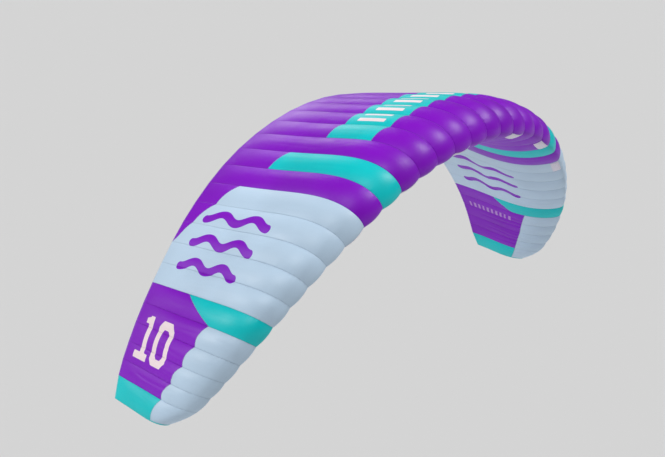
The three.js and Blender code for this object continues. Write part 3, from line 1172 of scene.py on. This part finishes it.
# %% The stitching tree
STITCH_PITCH = 0.0060
STITCH_LENGTH = 0.0044
THREAD_WIDTH = 0.0012
THREAD_FLATNESS = 0.6
INTAKE_STITCH_PITCH = 0.004
THREAD_GRAIN = 900.0
THREAD_SHADES = (0.85, 1.05)
THREAD_RELIEF = 0.0002
THREAD_ROUGHNESS, THREAD_SHEEN = 0.55, 0.3


def stitch_tree():
    tree = bpy.data.node_groups.new("lay_stitches", "GeometryNodeTree")
    face = tree.interface
    face.new_socket("Geometry", in_out="INPUT", socket_type="NodeSocketGeometry")
    for name in ("Pitch", "Stitch length", "Thread width"):
        face.new_socket(name, in_out="INPUT", socket_type="NodeSocketFloat")
    face.new_socket("Material", in_out="INPUT", socket_type="NodeSocketMaterial")
    face.new_socket("Geometry", in_out="OUTPUT", socket_type="NodeSocketGeometry")

    def add(kind, inputs=None, **settings):
        return add_node(tree, kind, inputs, **settings).outputs[0]

    given = add_node(tree, "NodeGroupInput").outputs
    curve = add("GeometryNodeMeshToCurve", {"Mesh": given["Geometry"]})
    spaced = add("GeometryNodeResampleCurve", {"Curve": curve, "Length": given["Pitch"]}, mode="LENGTH")
    tangent = add("GeometryNodeInputTangent")
    outward = add("GeometryNodeInputNamedAttribute", {"Name": "outward"}, data_type="FLOAT_VECTOR")
    along = add("FunctionNodeAlignRotationToVector", {"Vector": tangent}, axis="X")
    turned = add(
        "FunctionNodeAlignRotationToVector", {"Rotation": along, "Vector": outward}, axis="Z", pivot_axis="X"
    )
    bead = add("GeometryNodeMeshUVSphere", {"Segments": 6, "Rings": 3, "Radius": 0.5})
    thin = {0: given["Thread width"], 1: THREAD_FLATNESS}
    flat = add("ShaderNodeMath", thin, operation="MULTIPLY")
    size = add("ShaderNodeCombineXYZ", {0: given["Stitch length"], 1: given["Thread width"], 2: flat})
    stitch = add("GeometryNodeTransform", {"Geometry": bead, "Scale": size})
    rows = add(
        "GeometryNodeInstanceOnPoints", {"Points": spaced, "Instance": stitch, "Rotation": turned}
    )
    real = add("GeometryNodeRealizeInstances", {"Geometry": rows})
    rounded = add("GeometryNodeSetShadeSmooth", {"Geometry": real})
    dressed = add("GeometryNodeSetMaterial", {"Geometry": rounded, "Material": given["Material"]})
    add_node(tree, "NodeGroupOutput", {"Geometry": dressed})
    return tree


def sew(name, lines, material, pitch=STITCH_PITCH):
    """Stitches along the lines, as one plain mesh that rides on the kite."""
    path = lines_object(f"{name}_path", lines)
    modifier = path.modifiers.new("stitches", "NODES")
    modifier.node_group = stitches
    sockets = {item.name: item.identifier for item in stitches.interface.items_tree if item.in_out == "INPUT"}
    values = {
        "Pitch": pitch, "Stitch length": STITCH_LENGTH * pitch / STITCH_PITCH,
        "Thread width": THREAD_WIDTH, "Material": material,
    }
    for key, value in values.items():
        modifier[sockets[key]] = value
    bpy.context.view_layer.update()
    evaluated = path.evaluated_get(bpy.context.evaluated_depsgraph_get())
    mesh = bpy.data.meshes.new_from_object(evaluated)
    mesh.name = name
    path.modifiers.clear()
    bpy.data.objects.remove(path)
    piece = link(bpy.data.objects.new(name, mesh))
    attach(piece, "root")
    print(name, "has", len(mesh.polygons), "faces")


def thread_material(name, color):
    """Twisted thread: a fine grain makes it lighter and darker."""
    nodes = Nodes(name)
    place = nodes.add("ShaderNodeTexCoord").outputs["Object"]
    grain = nodes.add("ShaderNodeTexNoise", {"Vector": place, "Scale": THREAD_GRAIN, "Detail": 1.0})
    twist = grain.outputs["Fac"]
    tone = shade(nodes, color, nodes.ramp(twist, 0.2, 0.8, *THREAD_SHADES))
    height = nodes.math("MULTIPLY", twist, THREAD_RELIEF)
    return finish_cloth(nodes, tone, THREAD_ROUGHNESS, THREAD_SHEEN, height)


# %% Sew the kite
stitches = stitch_tree()
light_thread = thread_material("thread_light", COLORS["thread"])
teal_thread = thread_material("thread_teal", COLORS["teal"])
sew("stitches_color_seams", color_seam_lines(), light_thread)
sew("stitches_hem", hem_lines(), light_thread)
sew("stitches_intakes", intake_lines(), light_thread, pitch=INTAKE_STITCH_PITCH)
sew("stitches_end_panels", end_panel_lines(), teal_thread)

# %% [markdown]
# ## Floor and light
# The kite flies over a plain pale floor, far enough below to show no shadow edge. Satin cloth shows its
# swell by its glints, so each lamp stands where the cloth reflects it: high in front for the soft spots
# behind the nose, low on the near side for the pale cells, and low on the far side for the shine on the
# flat rear. A high key lamp on the near side lights the colours. A weak sky fills the shadows.

# %% Floor, sky and lamps
FLOOR_HEIGHT = -12.0
FLOOR_SIZE = 600.0
FLOOR_GREY = 0.64
SKY_STRENGTH = 0.09


def make_floor():
    s = FLOOR_SIZE / 2
    corners = np.array([(x, y, FLOOR_HEIGHT) for x, y in ((-s, -s), (s, -s), (s, s), (-s, s))])
    nodes = Nodes("floor_pale")
    nodes.shader.inputs["Base Color"].default_value = (FLOOR_GREY, FLOOR_GREY, FLOOR_GREY, 1)
    nodes.shader.inputs["Roughness"].default_value = 1.0
    nodes.shader.inputs["Specular IOR Level"].default_value = 0.0
    floor = mesh_object("floor", corners, [(0, 1, 2, 3)], nodes.material)


def make_sky(strength):
    world = bpy.data.worlds.new("sky")
    bpy.context.scene.world = world
    world.use_nodes = True
    background = world.node_tree.nodes["Background"]
    background.inputs["Color"].default_value = (1, 1, 1, 1)
    background.inputs["Strength"].default_value = strength


def soft_sun(name, azimuth, elevation, strength, softness):
    """Even light from a direction; a wide angle makes it soft."""
    data = bpy.data.lights.new(name, "SUN")
    data.energy = strength
    data.angle = math.radians(softness)
    a, e = math.radians(azimuth), math.radians(elevation)
    direction = Vector((math.cos(a) * math.cos(e), math.sin(a) * math.cos(e), math.sin(e)))
    lamp = link(bpy.data.objects.new(name, data))
    lamp.rotation_mode = "QUATERNION"
    lamp.rotation_quaternion = direction.to_track_quat("Z", "Y")


# the lamps: azimuth in degrees from the nose (+X) towards the far tip, elevation, strength and softness
LAMPS = table(
    "name azimuth elevation strength softness",
    ("key_high", 280, 55, 1.15, 30),
    ("glint_nose", 54, 52, 1.80, 26),
    ("glint_near", 220, 26, 1.15, 12),
    ("rim_far", 141, 16, 0.32, 24),
)


make_floor()
make_sky(SKY_STRENGTH)
for row in LAMPS:
    soft_sun(**row)
bpy.context.scene.view_settings.view_transform = "Standard"
